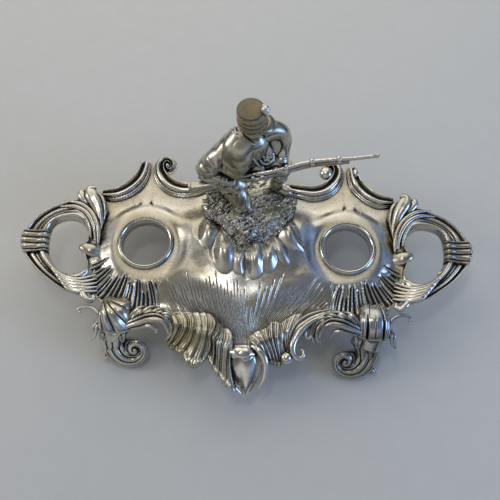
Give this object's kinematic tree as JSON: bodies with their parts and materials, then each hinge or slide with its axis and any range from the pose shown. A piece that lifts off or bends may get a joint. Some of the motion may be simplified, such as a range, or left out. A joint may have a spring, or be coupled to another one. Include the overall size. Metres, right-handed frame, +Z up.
{
  "type": "desk inkstand",
  "caption": "Silver-plated desk stand on four scroll feet: shaped tray with two open collars for ink pots, loop handles, scroll border, and a kneeling rifleman on a rock.",
  "frame": {"origin": "on the table, under the middle of the stand's outline", "axes": "+X along the stand's length towards the rifle's muzzle, +Y to the back, +Z up out of the wells"},
  "size_m": [0.3654, 0.2001, 0.1586],
  "materials": {
    "silver_plate": "polished silver plate, warm tarnish in the hollows",
    "bright_silver": "bright polished silver plate",
    "cast_silver": "cast and chased silver plate, dull in the hollows",
    "brass": "plain brass"
  },
  "bodies": {
    "root": {"tray_shell": "silver_plate", "well_collar_left": "bright_silver", "well_collar_right": "bright_silver", "handle_left": "silver_plate", "handle_right": "silver_plate", "handle_leaf_left": "silver_plate", "handle_leaf_right": "silver_plate", "side_scroll_left": "silver_plate", "side_scroll_right": "silver_plate", "back_scroll_left": "silver_plate", "back_scroll_right": "silver_plate", "rocaille_left": "silver_plate", "rocaille_right": "silver_plate", "front_c_scroll": "silver_plate", "acanthus_left": "silver_plate", "acanthus_right": "silver_plate", "prow": "silver_plate", "knee_shell_left": "silver_plate", "knee_shell_right": "silver_plate", "front_foot_left": "silver_plate", "front_foot_right": "silver_plate", "back_foot_left": "silver_plate", "back_foot_right": "silver_plate", "rock": "cast_silver", "rifleman": "silver_plate", "head": "silver_plate", "cap": "silver_plate", "cap_peak": "silver_plate", "cap_pompon": "bright_silver", "rifle_stock": "cast_silver", "rifle_lock": "silver_plate", "rifle_barrel": "silver_plate", "rifle_bands": "bright_silver", "rock_studs": "brass", "stud_washers": "brass", "stud_nuts": "brass"}
  },
  "joints": []
}
